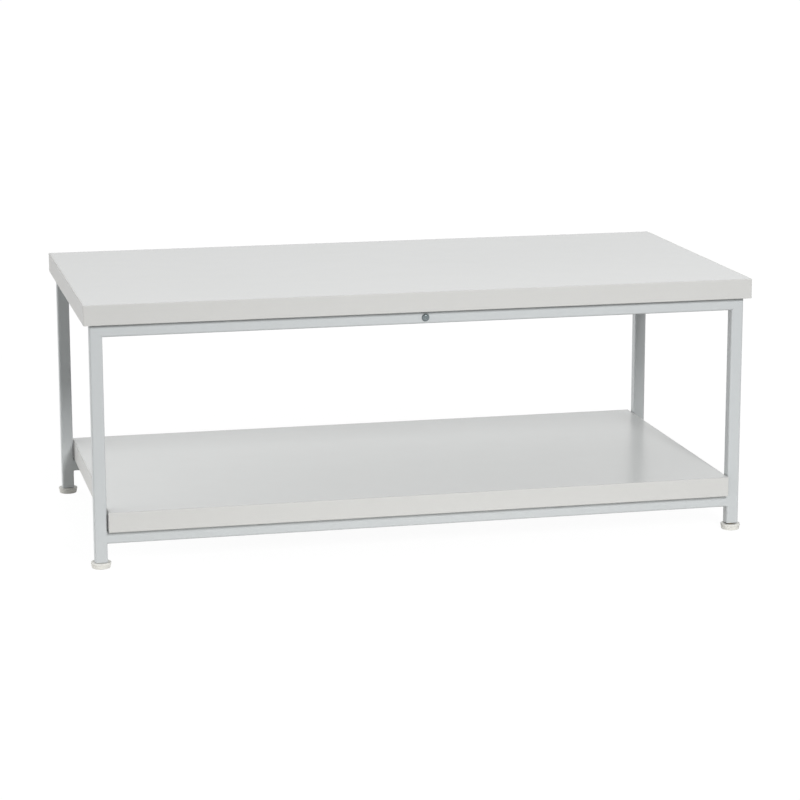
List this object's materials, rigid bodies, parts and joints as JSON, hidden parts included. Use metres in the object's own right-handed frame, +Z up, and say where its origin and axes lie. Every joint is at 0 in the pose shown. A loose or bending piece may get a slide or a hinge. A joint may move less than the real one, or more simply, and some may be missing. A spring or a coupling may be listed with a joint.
{
  "type": "coffee table",
  "caption": "Low rectangular table with a thick board top and a matching lower shelf board on a welded square-tube steel frame with round levelling feet.",
  "frame": {"origin": "on the floor, under the middle of the table", "axes": "+X along the table's length, to the right as seen from the front; +Y from the front to the back; +Z up"},
  "size_m": [1.08, 0.54, 0.42],
  "materials": {
    "board": "satin off-white laminate",
    "edge_band": "satin off-white edge band",
    "frame_paint": "satin pale grey powder coat",
    "zinc_plate": "zinc plated",
    "plain_steel": "bright zinc plated",
    "foot_plastic": "satin ivory",
    "nylon": "matt dark brown"
  },
  "bodies": {
    "frame_and_boards": {"front_left_leg": "frame_paint", "front_right_leg": "frame_paint", "back_left_leg": "frame_paint", "back_right_leg": "frame_paint", "front_top_rail": "frame_paint", "back_top_rail": "frame_paint", "front_low_rail": "frame_paint", "back_low_rail": "frame_paint", "centre_cross_rail": "frame_paint", "front_rail_plug": "plain_steel", "back_rail_plug": "plain_steel", "front_frame_bolt": "zinc_plate", "back_frame_bolt": "zinc_plate", "top_board_core": "board", "top_board_band_left": "edge_band", "top_board_band_right": "edge_band", "top_board_band_front": "edge_band", "top_board_band_back": "edge_band", "shelf_board_core": "board", "shelf_board_band_left": "edge_band", "shelf_board_band_right": "edge_band", "shelf_board_band_front": "edge_band", "shelf_board_band_back": "edge_band", "top_board_screw_front_left": "zinc_plate", "top_board_screw_front_right": "zinc_plate", "top_board_screw_back_left": "zinc_plate", "top_board_screw_back_right": "zinc_plate", "shelf_board_screw_front_left": "zinc_plate", "shelf_board_screw_front_right": "zinc_plate", "shelf_board_screw_back_left": "zinc_plate", "shelf_board_screw_back_right": "zinc_plate", "front_left_leg_plug": "nylon", "front_right_leg_plug": "nylon", "back_left_leg_plug": "nylon", "back_right_leg_plug": "nylon", "front_left_leg_nut": "plain_steel", "front_right_leg_nut": "plain_steel", "back_left_leg_nut": "plain_steel", "back_right_leg_nut": "plain_steel"},
    "front_left_foot": {"front_left_foot_pad": "foot_plastic", "front_left_foot_stud": "plain_steel"},
    "front_right_foot": {"front_right_foot_pad": "foot_plastic", "front_right_foot_stud": "plain_steel"},
    "back_left_foot": {"back_left_foot_pad": "foot_plastic", "back_left_foot_stud": "plain_steel"},
    "back_right_foot": {"back_right_foot_pad": "foot_plastic", "back_right_foot_stud": "plain_steel"}
  },
  "joints": [
    {"name": "front_left_foot_height", "type": "slide", "parent": "frame_and_boards", "child": "front_left_foot", "axis": [0, 0, -1], "range_m": [0, 0.012]},
    {"name": "front_right_foot_height", "type": "slide", "parent": "frame_and_boards", "child": "front_right_foot", "axis": [0, 0, -1], "range_m": [-0.002, 0.01]},
    {"name": "back_left_foot_height", "type": "slide", "parent": "frame_and_boards", "child": "back_left_foot", "axis": [0, 0, -1], "range_m": [0, 0.012]},
    {"name": "back_right_foot_height", "type": "slide", "parent": "frame_and_boards", "child": "back_right_foot", "axis": [0, 0, -1], "range_m": [0, 0.012]}
  ]
}
